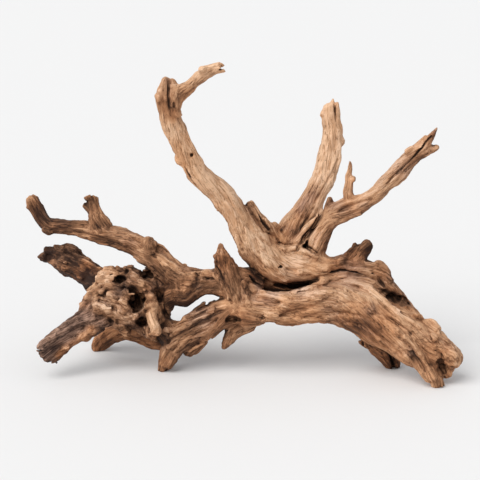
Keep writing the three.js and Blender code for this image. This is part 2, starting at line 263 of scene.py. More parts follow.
# Splits, notches and gaps: thin limbs that are cut out of the wood.
SPLITS = {
    "tall_tip": [
        (-86.5, -84, 412, 1.8, 8), (-88, -86, 396, 1.1, 6), (-88, -87, 380, 1.0, 6),
        (-86.5, -86, 361, 0.9, 5), (-82.5, -85, 348, 0.8, 3),
    ],
    "middle_tip": [
        (126, 65, 347, 1.4, 6), (126, 62, 334, 1.3, 6), (128, 58, 321, 1, 4),
    ],
    "right_limb": [
        (236, -93, 330, 1.3, 7), (223, -88, 313, 1.2, 6), (213, -81, 298, 1.1, 5),
        (196, -68, 277, 0.9, 3),
    ],
    "limb_crotch": [
        (108, -10, 228, 3, 12), (105, -13, 210, 3, 12), (91, -17, 186, 3, 11), (76, -25, 167, 2, 8),
    ],
    "trunk_hollow": [
        (174, -36, 121, 3, 8), (188, -38, 113, 7, 13), (203, -44, 102, 9, 16),
        (215, -49, 95, 7, 13), (227, -53, 91, 2, 5),
    ],
    "end_notch": [
        (258, -92, 29, 2, 6), (262, -90, 22, 4, 9), (267, -88, 12, 3, 6),
    ],
    "low_end": [
        (-274, -63, 42, 3.6, 16), (-265, -60, 42, 2, 14), (-258, -58, 41.5, 0.8, 8),
    ],
    "twig_end": [
        (-14, -117, 420, 2, 9), (-21, -112, 418, 1.2, 9), (-27, -109, 416, 0.7, 5),
    ],
    "back_toe": [
        (206, -26, -4, 3, 14), (203, -24, 8, 2, 14), (199, -22, 20, 1, 8),
    ],
    "under_bough": [
        (-142, 4, 144, 3.5, 26), (-134, 4, 140, 2.8, 26), (-126, 4, 137.2, 2.2, 26),
        (-119, 4, 135, 1.2, 24),
    ],
    "burl_crevice": [
        (-104, -40, 108, 3, 12), (-102, -42, 95, 3.6, 14), (-99, -42, 83, 4, 16),
        (-96, -40, 76, 3.4, 20),
    ],
    "low_face": [
        (-198, -47, 70, 9, 10), (-219, -58, 56, 12, 13), (-238, -68, 43, 11, 12),
        (-257, -78, 31, 9, 10),
    ],
}

# Rounded hollows as the eye meets them: place in the frame, half width, half height, depth in mm.
HOLLOWS = [
    (118, 279.5, 9, 5.5, 15), (112, 276.0, 5, 3.5, 8), (147, 275.3, 10.5, 7.8, 16),
    (136.5, 302.5, 13, 14.5, 30), (132.5, 291, 7, 6, 12), (159, 295.5, 7.5, 11, 16),
    (141.5, 321.5, 9.5, 6.5, 17), (110, 327.5, 9, 4, 12), (233, 319, 10, 5.5, 10),
    (204.5, 269.8, 3.5, 1.8, 7), (191.6, 155, 2.2, 2.2, 6), (238.3, 247.3, 1.9, 1.7, 5),
    (242, 250, 1.7, 1.7, 4), (248.3, 305, 2.2, 2.6, 6), (386, 293, 6, 3.6, 14),
    (392, 296, 7.5, 5.4, 18), (399, 299.5, 8.5, 6.2, 17), (406, 302.5, 7.5, 5.2, 15),
    (411.5, 304.5, 5, 3.4, 10), (443.5, 368.5, 8.5, 9, 12), (440, 362, 5, 5, 8),
]

# Cracks: half width and depth in mm, then their places in the frame from end to end.
CRACKS = [
    (1.7, 6, 183, 165, 190, 178, 197, 187, 204, 193), (1.4, 7, 258, 212, 264, 224, 271, 233),
    (1.3, 4, 412, 157, 404, 165.5, 392, 178, 382, 191),
    (1.7, 9, 325, 198.5, 323, 205, 320.8, 213),
    (2.2, 11, 319.5, 217, 312, 228, 303, 239, 297, 247),
    (1.1, 6, 335.2, 104, 335.2, 111, 336.2, 118),
    (2.8, 13, 274, 285.5, 286, 286.5, 302, 285, 316, 283.3),
    (1.1, 6, 264, 291, 274, 293.3, 285, 293.8, 296, 292.8),
    (2.2, 9, 250, 275, 255, 283, 264, 289),
    (2.2, 8, 213.5, 264, 217, 270, 220.5, 276, 223.5, 283),
    (1.5, 8, 322, 273, 330, 273, 340, 270.5, 352, 271, 365, 274, 378, 274),
    (2.2, 6, 281, 267, 277, 266.5, 273, 268), (1.6, 7, 441, 352, 443, 358, 445, 364),
    (2.6, 9, 157, 292, 161, 303, 166, 312, 170, 319), (1.6, 7, 394, 356, 395, 363, 396, 371),
]

# Soft furrows: how far they spread to each side and depth in mm, then their places.
FURROWS = [
    (2.6, 2.4, 170, 83, 169, 95, 170, 106, 173, 117),
    (2.6, 1.6, 246, 282, 256, 291, 272, 297, 292, 298, 310, 292),
    (2.4, 3.4, 276, 243, 286, 245, 297, 243.5, 308, 248, 318, 254),
    (2.6, 2.8, 248, 252, 258, 262, 268, 268), (2.4, 2.4, 255, 256, 262, 270, 270, 280),
    (3.0, 3.2, 214, 268, 220, 279, 226, 289, 232, 298),
    (1.9, 2.0, 174.5, 96, 174.5, 106, 176.5, 114), (1.8, 1.6, 164, 88, 163.5, 100, 165, 112),
    (2.0, 2.4, 174, 124, 179, 132, 186, 140.5, 190, 147),
    (2.0, 2.0, 206, 190, 214, 200, 224, 213, 232, 226),
    (2.2, 2.4, 225, 196, 238, 212, 249, 227, 262, 240, 277, 250),
    (2.0, 2.0, 240, 240, 247, 252, 256, 264, 264, 273),
    (1.9, 1.6, 252, 238, 262, 250, 274, 259, 288, 262), (2.2, 2.4, 247, 262, 256, 274, 270, 283),
    (1.9, 1.6, 281, 269, 295, 270, 312, 268), (1.8, 2.0, 432, 146, 420, 154, 408, 166),
    (2.1, 2.4, 371, 200, 360, 203, 351, 205, 342, 210, 335, 214),
    (1.9, 2.0, 380, 190, 366, 206, 350, 214, 338, 222, 330, 236),
    (2.0, 2.0, 311, 214, 300, 230, 289, 242), (2.0, 2.0, 322, 226, 316, 240, 311, 254),
    (1.8, 1.6, 331, 118, 330, 130, 327, 146), (2.0, 2.0, 339, 158, 331, 176, 322, 192, 314, 204),
    (1.9, 2.0, 322, 168, 314, 184, 303, 204, 292, 222), (1.9, 1.6, 224, 262, 229, 275, 236, 290),
    (2.1, 2.8, 376, 281, 384, 288, 392, 294), (1.9, 2.0, 386, 280, 396, 286, 405, 294),
    (2.3, 2.4, 262, 318, 285, 314, 305, 309, 325, 301),
    (2.2, 2.0, 300, 310, 325, 305, 350, 303, 372, 304),
    (2.3, 2.4, 316, 318, 340, 313, 362, 316, 380, 326),
    (2.0, 2.0, 330, 291, 345, 287, 360, 289, 372, 296),
    (2.2, 2.4, 342, 322, 360, 325, 378, 337, 395, 348),
    (2.3, 2.8, 384, 311, 390, 318, 401, 327, 412, 334), (2.1, 2.4, 402, 318, 415, 326, 427, 336),
    (2.3, 2.8, 437, 347, 441, 358, 443, 366),
    (3.0, 2.7, 392, 332, 402, 338, 412, 347, 419, 358, 426, 372),
    (2.2, 2.2, 410, 334, 419, 344, 426, 355, 432, 369), (2.4, 4.0, 384, 314, 391, 319, 399, 325),
    (2.0, 2.2, 54, 341, 66, 333, 80, 326), (2.2, 3.0, 56, 350, 70, 342, 84, 333, 96, 327),
    (2.0, 2.0, 58, 333, 68, 326, 78, 318), (2.0, 2.0, 128, 284, 122, 289, 110, 290),
    (2.0, 2.0, 96, 300, 108, 303, 120, 312), (2.0, 2.0, 118, 318, 126, 314, 134, 313),
    (2.1, 2.4, 170, 268, 178, 284, 183, 300), (2.0, 2.0, 184, 270, 192, 283, 195, 298),
    (2.1, 2.4, 165, 262, 180, 270, 196, 276, 210, 279), (2.0, 2.0, 190, 268, 203, 274, 213, 277),
    (2.0, 2.0, 50, 222, 64, 225, 80, 227, 92, 230),
    (2.4, 2.8, 116, 227, 128, 236, 138, 244, 146, 251),
    (2.4, 2.8, 72, 232, 92, 236, 106, 240, 124, 249, 142, 260),
    (2.0, 2.0, 92, 200, 91.5, 209, 92, 217), (1.9, 2.0, 97, 203, 99, 212, 103, 220),
    (2.0, 2.0, 33, 203, 38, 213, 44, 222), (2.2, 2.4, 62, 252, 74, 256, 86, 264, 96, 272),
    (2.1, 2.4, 58, 262, 70, 268, 82, 277), (2.4, 2.8, 186, 345, 194, 337, 206, 328, 218, 319),
    (2.3, 2.8, 172, 352, 182, 340, 196, 330, 210, 320),
    (2.2, 2.4, 178, 330, 192, 322, 206, 311, 216, 304), (2.3, 2.4, 160, 343, 166, 350, 168, 360),
    (2.2, 2.4, 227, 330, 234, 327, 242, 322), (4.5, 4.5, 268, 232, 272, 236.5, 279, 240),
    (5.0, 4.5, 378, 277, 386, 287, 395, 294, 408, 302, 418, 309),
    (4.0, 2.6, 374, 291, 384, 301, 395, 309, 408, 315, 420, 320),
    (4.0, 3.0, 78, 314, 84, 308, 90, 302), (3.0, 2.4, 80, 318, 88, 314, 94, 306),
    (4.0, 3.0, 130, 287, 137, 290, 143, 290), (3.0, 2.4, 105, 286, 116, 288, 127, 288),
    (2.6, 2.4, 104, 296, 114, 302, 124, 306, 128, 314), (3.0, 2.4, 112, 318, 122, 322, 131, 322),
    (3.6, 3.0, 168, 276, 174, 290, 176, 304), (3.2, 2.6, 196, 262, 199, 272, 197, 284, 190, 296),
    (2.6, 2.2, 205, 283, 212, 288, 222, 291), (2.6, 2.0, 236, 278, 241, 290, 243, 302),
    (3.0, 1.8, 258, 296, 270, 303, 286, 303), (3.0, 2.0, 330, 281, 345, 279, 362, 281, 376, 286),
    (3.0, 1.8, 300, 318, 322, 314, 342, 314), (3.0, 2.2, 345, 330, 362, 338, 378, 348),
    (1.6, 1.2, 352, 178, 348, 186, 347, 194), (3.0, 1.6, 200, 180, 210, 192, 222, 206, 236, 222),
    (2.4, 1.2, 178, 118, 186, 136, 192, 150), (2.4, 1.2, 165, 122, 172, 138, 181, 152),
    (2.2, 1.3, 326, 126, 326, 144, 320, 162, 312, 178),
    (2.0, 1.2, 338, 122, 337, 142, 333, 160, 325, 176),
    (2.0, 1.4, 429, 150, 412, 165, 396, 182, 382, 198),
    (2.4, 1.6, 362, 214, 348, 222, 336, 234, 328, 248), (2.2, 1.6, 330, 228, 322, 240, 318, 252),
]

# Raised knots and strands: radius and how far they stand up in mm, then their places.
STRANDS = [
    (5.0, 2.6, 268, 316, 285, 308, 300, 302, 318, 296, 332, 291),
    (4.5, 2.6, 243, 283, 254, 293, 266, 297, 285, 299, 302, 295, 325, 282),
    (3.0, 2.2, 243, 316, 252, 318, 262, 320), (4.0, 2.4, 268, 262, 274, 264, 281, 268, 283, 272),
    (3.4, 2.6, 247, 297, 247.5, 303), (3.2, 1.8, 375, 290, 385, 301, 395, 308, 420, 318),
    (4.0, 2.6, 368, 305, 371, 311), (4.2, 2.4, 398, 332, 412, 345, 423, 361, 433, 378),
    (3.4, 1.8, 406, 356, 417, 366, 428, 379), (5.0, 2.2, 429, 324, 435, 329),
    (4.0, 2.6, 433, 337, 434, 340), (4.0, 2.0, 447, 342, 452, 348, 455, 356),
    (5.0, 2.0, 340, 262, 352, 252, 364, 246), (4.0, 3.0, 356, 247, 358, 248),
    (4.5, 2.4, 367, 243.5, 369, 246), (4.0, 2.2, 378, 265, 386, 272, 390, 280),
    (5.0, 3.4, 146, 287, 151, 298, 153, 310), (4.5, 2.8, 82, 334, 93, 329, 104, 323, 117, 323),
    (4.0, 2.6, 117, 323, 132, 331, 149, 335, 159, 341), (5.0, 2.8, 124, 284, 126, 296, 124, 310),
    (4.5, 3.0, 130, 268, 131, 276, 133, 285, 143, 287),
    (4.0, 1.6, 101, 281, 105, 273, 114, 270, 124, 270),
    (3.0, 1.2, 408, 151, 412, 148.5), (2.4, 1.6, 352, 177, 352, 180),
    (3.4, 1.2, 158, 96, 159, 100), (4.4, 3.4, 197.5, 87, 199, 87), (3.4, 2.2, 203, 70, 205, 69.5),
    (2.6, 1.6, 170, 88, 171, 106), (3.0, 1.8, 176, 88, 176, 104, 178, 114),
    (3.4, 2.4, 265, 221, 268, 226), (3.6, 3.0, 273, 226, 276, 228),
    (3.6, 2.2, 283, 250, 290, 248, 297, 247.5, 306, 252, 316, 258),
    (8.0, 2.4, 147, 241, 151, 246),
    (4.0, 2.8, 200, 277, 207, 276, 213, 275), (3.4, 1.8, 216.5, 257, 217, 260),
    (5.0, 3.0, 95, 292, 104, 290), (6.0, 3.0, 100, 306, 108, 309),
    (5.0, 3.0, 112, 296, 117, 300), (6.0, 3.6, 49, 251, 56, 250.5, 62, 251, 68, 249.5, 76, 252),
    (4.0, 2.6, 42.5, 256.5, 45, 257),
    (4.0, 2.6, 46, 229, 49, 231), (3.4, 2.0, 30, 203, 31, 206),
    (3.4, 2.4, 81, 205.5, 83, 207), (3.0, 2.0, 93, 195, 93.5, 197),
    (3.0, 2.2, 87, 199, 90, 197.5), (4.0, 2.2, 150, 332, 170, 330, 188, 318, 204, 305),
    (4.0, 2.2, 165, 340, 182, 330, 200, 318, 214, 309),
]

# Each group of limbs and its look: how furrowed, how lumpy, how pale, how warm, how grey.
GROUPS = [
    (TRUNK, (0.85, 0.12, 0.60, 0.58, 0.12)),
    (TALL_LIMB, (0.60, 0.05, 0.75, 0.54, 0.10)),
    (MIDDLE_LIMB, (0.66, 0.05, 0.76, 0.48, 0.14)),
    (RIGHT_LIMB, (0.80, 0.05, 0.64, 0.46, 0.22)),
    (LEFT_BOUGH, (1.15, 0.20, 0.38, 0.52, 0.12)),
    (LEFT_ROOTS, (1.15, 0.18, 0.41, 0.56, 0.14)),
    (BURL, (0.90, 1.00, 0.34, 0.50, 0.22)),
    (SMALL_KNOBS, (0.50, 0.20, 0.74, 0.48, 0.10)),
]
OWN_LOOKS = {
    "thorn": (1.1, 0.25, 0.38, 0.58, 0.15),
    "bridge": (1.0, 0.25, 0.21, 0.58, 0.05),
    "stub": (1.1, 0.45, 0.30, 0.60, 0.10),
    "rear_root": (1.0, 0.2, 0.40, 0.95, 0.0),
    "rear_limb": (1.0, 0.5, 0.06, 0.62, 0.16),
    "low_limb": (0.9, 0.3, 0.20, 0.44, 0.48),
    "pale_peg": (0.9, 0.3, 0.60, 0.48, 0.05),
    "back_foot": (0.9, 0.1, 0.32, 0.85, 0.0),
    "back_rim": (1.1, 0.15, 0.54, 0.55, 0.18),
    "back_shelf": (0.8, 0.1, 0.32, 0.66, 0.05),
    "rim_back": (1.0, 0.15, 0.50, 0.55, 0.18),
}

# Patches of colour: place in the frame, radius in mm, and the change in how pale, warm and grey
# the wood is there, in hundredths.
# Most patches are the wood's own tone; the dark ones over the hollows, along the split in the tall
# limb and in the lens-shaped hollow of the trunk are painted shade.
TONE_AND_SHADE_PATCHES = [
    (300, 290, 16, 2, -30, 55), (275, 296, 12, 2, -25, 45), (255, 288, 9, 4, -20, 35),
    (345, 283, 22, 2, -10, 25), (225, 215, 26, 8, 0, 5), (180, 135, 26, 14, -5, 5),
    (191, 168, 24, 17, 0, 0), (166, 108, 13, -9, 10, 0), (352, 256, 26, -27, 10, 5),
    (345, 208, 18, -18, 5, 5), (284, 228, 15, -34, 25, 5), (300, 214, 14, -30, 20, 5),
    (272, 238, 9, -30, 15, 5), (312, 196, 12, -24, 15, 10), (315, 180, 10, -12, 10, 10),
    (262, 228, 10, -20, 15, 10), (62, 225, 30, -26, 0, 5), (36, 212, 18, -18, 10, 5),
    (380, 320, 34, -10, 6, 4), (255, 300, 26, 6, 0, 5), (222, 66, 5, -25, 10, 10),
    (168, 80, 6, -30, 10, 5), (290, 262, 18, 6, -5, 20), (330, 240, 16, -10, 5, 5),
    (258, 264, 14, -16, 10, 5), (276, 268, 7, -20, 10, 5), (190, 150, 40, 4, 5, -5),
    (170, 96, 24, -34, 14, 2), (169.5, 90, 4, -30, 15, 0), (169.5, 103, 4, -30, 15, 0),
    (173, 117, 7, -30, 15, 0), (192, 156, 4, -20, 10, 0),
    (245, 318, 16, -10, 25, -10), (300, 322, 30, -16, 25, -5), (345, 322, 16, -22, 20, 5),
    (365, 332, 16, -30, 5, 15), (370, 308, 8, -14, -10, 35), (385, 275, 16, -22, 15, 5),
    (394, 297, 11, -42, 25, -10), (404, 301, 10, -42, 25, -10), (432, 345, 20, -8, 20, -5),
    (444, 367, 12, -26, 30, -10), (412, 352, 8, -20, -5, 30), (395, 362, 14, -18, 30, -10),
    (299, 232, 10, -25, 20, 0), (300, 205, 10, -26, 10, 20), (328, 205, 8, -25, 15, 5),
    (434, 132, 10, -28, 20, 15), (400, 165, 24, -4, -8, 20), (250, 205, 12, -25, 5, 20),
    (84, 268, 14, 4, 40, -10), (88, 280, 10, -10, -10, 35), (75, 342, 16, 2, -10, 20),
    (92, 331, 9, 36, 50, -45), (60, 355, 7, 34, 45, -45), (67, 350, 8, 36, 50, -45),
    (75, 345, 8, 36, 50, -45), (83, 338, 8, 36, 50, -45), (84, 308, 12, -6, 10, 10),
    (45, 215, 22, -16, -5, 5), (40, 200, 10, -10, 25, 0),
    (128, 244, 14, -4, 30, 0), (170, 255, 18, 6, 10, 0), (105, 303, 14, 38, -10, 12),
    (120, 312, 10, 6, -5, 10), (120, 292, 9, -16, -10, 30), (158, 326, 6, 22, 5, -10),
    (205, 274, 9, 22, 0, 5), (190, 292, 18, -10, 10, 5), (222, 262, 12, -8, 35, 0),
    (222, 282, 8, -20, 10, 5), (255, 275, 8, -26, 15, 0),
    (228, 300, 12, 16, 15, 0), (200, 318, 16, -6, -10, 30),
]

# How the wood was worn. Each kind of mark: its width, its length and how far it stands up, in mm.
FLUTE = (22, 150, 5.6)
RIDGE = (9, 65, 3.2)
THREAD = (3.6, 36, 0.85)
CHECK = (9, 80, 1.4)
FLAKE = (8, 34, 0.55)
USUAL_SWELL = 0.26
CHECK_WIDTH = 0.06
GRAIN_BEND = 2.5
GRAIN_SHIFT = 31.7
COLOUR_SHIFT = 61.0
TORN_DEPTH = 4.2
TORN_REACH = 7

# How the limbs turn along their length, and how blunt their ends are.
TWISTS = (0.010, -0.008, 0.014, -0.005)
TIP_SHARE = 0.3

# How softly things meet, in mm.
STRAND_BLEND = 4.5
SPLIT_EDGE = 1.5
CRACK_EDGE = 1.0
HOLLOW_EDGE = 2.0
LOOKS_BLEND = 2.2
LOOKS_REACH = 9

# How a peg narrows, from its start to its tip.
PEG_START = 1.15
PEG_TAPER = 0.95

# How finely the wood is shaped, in mm.
BAND = 7.0
FAR = 14.0
STEP = 1.25
PIECE = 5.0
BLOCK_LOW = [-304, -128, -8]
BLOCK_HIGH = [304, 128, 444]
MOST_TRIANGLES = 190000

# The camera's view of the piece.
FRAME_PIXELS = 480
SENSOR = 36.0
FOCAL_LENGTH = 115.38
VIEW_HEIGHT = math.radians(15)
VIEW_DISTANCE = 2000.0
VIEW_TARGET = np.array([1.0, -16.0, 180.0])
VIEW_REACH = 260
SIGHT_STEPS = 130
SIGHT_SHARE = 0.7

# The wood's colours, from its darkest to its palest, and what they are mixed with.
WOOD_STOPS = [
    (0.0, (0.030, 0.011, 0.005, 1)),
    (0.25, (0.114, 0.050, 0.023, 1)),
    (0.5, (0.305, 0.147, 0.073, 1)),
    (0.75, (0.545, 0.305, 0.168, 1)),
    (1.0, (0.760, 0.498, 0.322, 1)),
]
ORANGE = (1.0, 0.72, 0.47, 1)
COOL = (1.0, 0.94, 0.95, 1)
SPECK = (0.05, 0.03, 0.018, 1)
# Near-black painted shade for the deepest hollows.
HOLLOW_PAINTED_SHADE = (0.030, 0.013, 0.007, 1)

# The floor, in metres, and the light: a pale sky and a wide window from the left and the front.
FLOOR = (0.80, 0.80, 0.805, 1)
FLOOR_HALF = 30.0
SKY = (0.97, 0.985, 1.0, 1)
SKY_STRENGTH = 0.61
WINDOW = (1.0, 0.985, 0.96)
WINDOW_STRENGTH = 2.4
WINDOW_SPREAD = math.radians(50)
WINDOW_WAY = (0.50, 0.52, -0.78)


class Swell:
    """Smooth random swells: a number between about -1 and 1 at every point."""

    def __init__(self, seed):
        draw = np.random.default_rng(seed)
        self.order = draw.permutation(256).astype(np.int32)
        slopes = draw.normal(size=(256, 3))
        slopes /= np.linalg.norm(slopes, axis=1)[:, None]
        self.slopes = slopes.astype(np.float32)

    def __call__(self, x, y, z):
        cells = [np.floor(value).astype(np.int32) for value in (x, y, z)]
        parts = [
            (value - cell).astype(np.float32) for value, cell in zip((x, y, z), cells)
        ]
        fades = [part * part * part * (part * (part * 6 - 15) + 10) for part in parts]
        total = np.zeros(len(parts[0]), np.float32)
        for corner in range(8):
            steps = [corner & 1, corner >> 1 & 1, corner >> 2 & 1]
            place = self.order[(cells[0] + steps[0]) & 255]
            place = self.order[(place + cells[1] + steps[1]) & 255]
            place = self.order[(place + cells[2] + steps[2]) & 255]
            slope = self.slopes[place]
            value = sum(slope[:, axis] * (parts[axis] - steps[axis]) for axis in range(3))
            for fade, step in zip(fades, steps):
                value = value * (fade if step else 1 - fade)
            total += value
        return total * 1.6


def smooth_run(stations, spacing):
    """Points along a smooth line through the stations, with all their sizes."""
    rows = []
    last = len(stations) - 1
    for place in range(last):
        before = stations[max(place - 1, 0)]
        start = stations[place]
        end = stations[place + 1]
        after = stations[min(place + 2, last)]
        length = np.linalg.norm(end[:3] - start[:3])
        count = max(1, round(length / spacing))
        share = (np.arange(count) / count)[:, None]
        slope_in = (end - before) / 2
        slope_out = (after - start) / 2
        curve = (
            (2 * share**3 - 3 * share**2 + 1) * start
            + (share**3 - 2 * share**2 + share) * slope_in
            + (3 * share**2 - 2 * share**3) * end
            + (share**3 - share**2) * slope_out
        )
        curve[:, 3:] = start[3:] + share * (end[3:] - start[3:])
        rows.append(curve)
    rows.append(stations[-1:])
    return np.concatenate(rows)


def unit(vectors):
    """The same directions with length 1."""
    return vectors / np.linalg.norm(vectors, axis=-1, keepdims=True)


class Limb:
    """One length of wood, as short straight pieces along a smooth line."""

    def __init__(self, stations, look, seed):
        points = np.array(stations, float)
        points[:, :3] += TO_ORIGIN
        run = smooth_run(points, PIECE)
        steps = run[1:, :3] - run[:-1, :3]
        self.start = run[:-1, :3]
        self.reach = np.linalg.norm(steps, axis=1)
        self.heading = steps / self.reach[:, None]
        self.across = unit(np.cross(self.heading, [0.0, 1.0, 0.0]))
        self.through = np.cross(self.across, self.heading)
        self.width = run[:-1, 3]
        self.width_gain = run[1:, 3] - run[:-1, 3]
        self.depth = run[:-1, 4]
        self.depth_gain = run[1:, 4] - run[:-1, 4]
        self.along = np.concatenate([[0.0], np.cumsum(self.reach)[:-1]])
        self.total = self.reach.sum()
        middle = (self.width + self.depth) / 2
        self.cap_low = middle.copy()
        self.cap_high = middle.copy()
        self.cap_low[0] *= TIP_SHARE
        self.cap_high[-1] *= TIP_SHARE
        self.blend = float(np.clip(0.3 * middle.mean(), 2.5, 7))
        self.look = look
        self.seed = seed
        self.twist = TWISTS[seed % len(TWISTS)]

    def measure(self, x, y, z, piece):
        """Distance to this limb's surface, the way across, through and along, and its girth."""
        start = self.start[piece]
        rx, ry, rz = x - start[..., 0], y - start[..., 1], z - start[..., 2]

        def part(direction):
            row = direction[piece]
            return rx * row[..., 0] + ry * row[..., 1] + rz * row[..., 2]

        run = part(self.heading)
        wide = part(self.across)
        deep = part(self.through)
        held = np.clip(run, 0, self.reach[piece])
        beyond = run - held
        share = held / self.reach[piece]
        half_width = self.width[piece] + share * self.width_gain[piece]
        half_depth = self.depth[piece] + share * self.depth_gain[piece]
        cap = np.where(run < 0, self.cap_low[piece], self.cap_high[piece])
        near = 1e-4
        size = np.sqrt(
            (wide / half_width) ** 2
            + (deep / half_depth) ** 2
            + (beyond / cap) ** 2
            + near / half_width**2
        )
        radius = np.sqrt(wide * wide + deep * deep + beyond * beyond + near)
        along = self.along[piece] + held
        return radius * (1 - 1 / size), wide, deep, along, (half_width + half_depth) / 2


class Block:
    """The block of space, in small cubes, that the wood is shaped in."""

    def __init__(self, low, high, step):
        self.low = np.array(low, float)
        self.step = step
        self.shape = np.ceil((np.array(high, float) - self.low) / step).astype(int) + 1
        self.field = np.full(self.shape, FAR, np.float32)

    def span(self, low, high):
        """The slices of cubes between two corners."""
        first = np.floor((np.array(low) - self.low) / self.step).astype(int)
        last = np.ceil((np.array(high) - self.low) / self.step).astype(int) + 1
        first = np.clip(first, 0, self.shape)
        last = np.clip(last, 0, self.shape)
        return tuple(slice(a, b) for a, b in zip(first, last))

    def places(self, span):
        """The three coordinates of the cubes in a span, ready to be combined."""
        axes = [
            (low + self.step * np.arange(side.start, side.stop)).astype(np.float32)
            for low, side in zip(self.low, span)
        ]
        return np.meshgrid(*axes, indexing="ij", sparse=True)

    def read(self, points):
        """The field at any points, from the eight cubes round each."""
        place = (points - self.low) / self.step
        place = np.clip(place, 0, self.shape - 1.001)
        cell = place.astype(int)
        part = place - cell
        total = np.zeros(len(points))
        for corner in range(8):
            steps = np.array([corner & 1, corner >> 1 & 1, corner >> 2 & 1])
            share = np.prod(np.where(steps, part, 1 - part), axis=1)
            x, y, z = (cell + steps).T
            total += share * self.field[x, y, z]
        return total

    def outward(self, points):
        """The direction out of the wood at any points."""
        slopes = []
        for axis in range(3):
            nudge = np.zeros(3)
            nudge[axis] = self.step
            slopes.append(self.read(points + nudge) - self.read(points - nudge))
        return unit(np.stack(slopes, axis=1) + 1e-9)


def join(first, second, blend):
    """Two solids as one, with a soft fillet between them."""
    close = np.maximum(blend - np.abs(first - second), 0) / blend
    return np.minimum(first, second) - close * close * blend / 4


def cut(solid, tool, blend):
    """A solid with another taken out of it, with a worn edge."""
    return -join(-solid, tool, blend)


def far_off(span):
    """Distances for the cubes of a span, all far from the wood."""
    return np.full([side.stop - side.start for side in span], FAR, np.float32)


def inside(span, whole):
    """The same span, counted from the first corner of a larger one."""
    return tuple(slice(a.start - b.start, a.stop - b.start) for a, b in zip(span, whole))


def lay(limb, block):
    """The cubes round one limb: their distance to it and the nearest of its pieces."""
    widest = max(limb.width.max(), limb.depth.max()) + FAR
    ends = limb.start + limb.heading * limb.reach[:, None]
    low = np.minimum(limb.start, ends).min(0) - widest
    high = np.maximum(limb.start, ends).max(0) + widest
    whole = block.span(low, high)
    distance = far_off(whole)
    nearest = np.full(distance.shape, -1, np.int16)
    for piece in range(len(limb.reach)):
        margin = max(limb.width[piece], limb.depth[piece]) + FAR * 0.8
        low = np.minimum(limb.start[piece], ends[piece]) - margin
        high = np.maximum(limb.start[piece], ends[piece]) + margin
        span = block.span(low, high)
        here = inside(span, whole)
        found = limb.measure(*block.places(span), piece)[0]
        closer = found < distance[here]
        distance[here] = np.where(closer, found, distance[here])
        nearest[here] = np.where(closer, piece, nearest[here])
    return whole, distance, nearest


# A ray from the camera through a place in the frame, to where it meets the wood.
BACK = np.array([0.0, -math.cos(VIEW_HEIGHT), math.sin(VIEW_HEIGHT)])
UP = np.array([0.0, math.sin(VIEW_HEIGHT), math.cos(VIEW_HEIGHT)])
EYE = VIEW_TARGET + VIEW_DISTANCE * BACK


def sight(place):
    """The direction from the camera through a place in the frame."""
    pixel = SENSOR / FRAME_PIXELS / FOCAL_LENGTH
    right = (place[0] - FRAME_PIXELS / 2) * pixel
    up = (FRAME_PIXELS / 2 - place[1]) * pixel
    return unit(-BACK + right * np.array([1.0, 0.0, 0.0]) + up * UP)


def on_wood(places, block):
    """Where the eye meets the wood at these places of the frame; places beside it are left out."""
    ways = np.array([sight(place) for place in places])
    run = np.full(len(ways), VIEW_DISTANCE - VIEW_REACH)
    for _ in range(SIGHT_STEPS):
        gap = block.read(EYE + run[:, None] * ways)
        run += SIGHT_SHARE * gap
    met = (np.abs(gap) < 0.3) & (run < VIEW_DISTANCE + VIEW_REACH)
    return (EYE + run[:, None] * ways)[met]


def dense(places, spacing):
    """More places along a line of them."""
    rows = np.array(places, float)
    steps = np.linalg.norm(np.diff(rows, axis=0), axis=1)
    along = np.concatenate([[0], np.cumsum(steps)])
    wanted = np.linspace(0, along[-1], max(2, round(along[-1] / spacing)))
    return np.stack([np.interp(wanted, along, rows[:, axis]) for axis in range(2)], axis=1)


# The random swells that wear the wood. Each has its own seed.
broad = Swell(3)
flutes = Swell(5)
ridges = Swell(7)
threads = Swell(11)
checks = Swell(13)
calm = Swell(17)
knobs = Swell(19)
warp = Swell(23)
stains = Swell(29)


def rounded(swell, points, size, shift=0):
    """A swell that is as broad one way as the other, at any points."""
    x, y, z = points.T / size
    return swell(x + shift, y, z)


def relief(limb, points, wide, deep, along, girth):
    """How far the worn grain stands out of the plain limb, in mm, and the way along the grain."""
    turn = limb.twist * along + limb.seed
    first = wide * np.cos(turn) - deep * np.sin(turn)
    second = wide * np.sin(turn) + deep * np.cos(turn)
    shift = GRAIN_SHIFT * limb.seed
    furrowed, lumpy = limb.look[:2]
    bent = first + GRAIN_BEND * rounded(warp, points, 24, shift)

    def marks(swell, kind):
        width, length, _ = kind
        return swell(bent / width + shift, second / width, along / length)

    flute = FLUTE[2] * (np.abs(marks(flutes, FLUTE)) - USUAL_SWELL)
    ridge = RIDGE[2] * (np.abs(marks(ridges, RIDGE)) - USUAL_SWELL)
    quiet = rounded(calm, points, 34)
    crack = np.exp(-((marks(checks, CHECK) / CHECK_WIDTH) ** 2))
    crack = crack * np.clip(0.2 + 2.0 * quiet, 0, 1)
    grain = flute + ridge + THREAD[2] * marks(threads, THREAD) - CHECK[2] * crack
    width, length, stand = FLAKE
    flake = np.tanh(7 * threads(bent / width + 5, second / width, along / length + shift))
    grain = (grain + stand * flake) * (0.9 + 0.6 * quiet) * (1 - 0.6 * lumpy)
    swell = rounded(broad, points, 26, shift)
    knob = np.abs(rounded(knobs, points, 13)) - 0.25
    small_knob = rounded(knobs, points, 5.5, 40)
    scale = np.tanh(6 * rounded(knobs, points, 9, 70))
    lump = 1.6 * swell + 1.2 * knob + 0.25 * small_knob
    lump = lump + lumpy * (2.8 * swell + 2.6 * knob + 0.8 * small_knob + 0.5 * scale)
    end = np.minimum(along, limb.total - along)
    width = THREAD[0]
    split = threads(first / width, second / width, along / 200)
    torn = TORN_DEPTH * np.exp(-end / TORN_REACH) * split
    torn = torn * np.clip(limb.total / 60, 0.3, 1)
    rise = np.clip(girth / 15, 0.3, 1.2) * (furrowed * grain + lump)
    return rise + np.clip(girth / 9, 0.35, 1) * torn, first, second


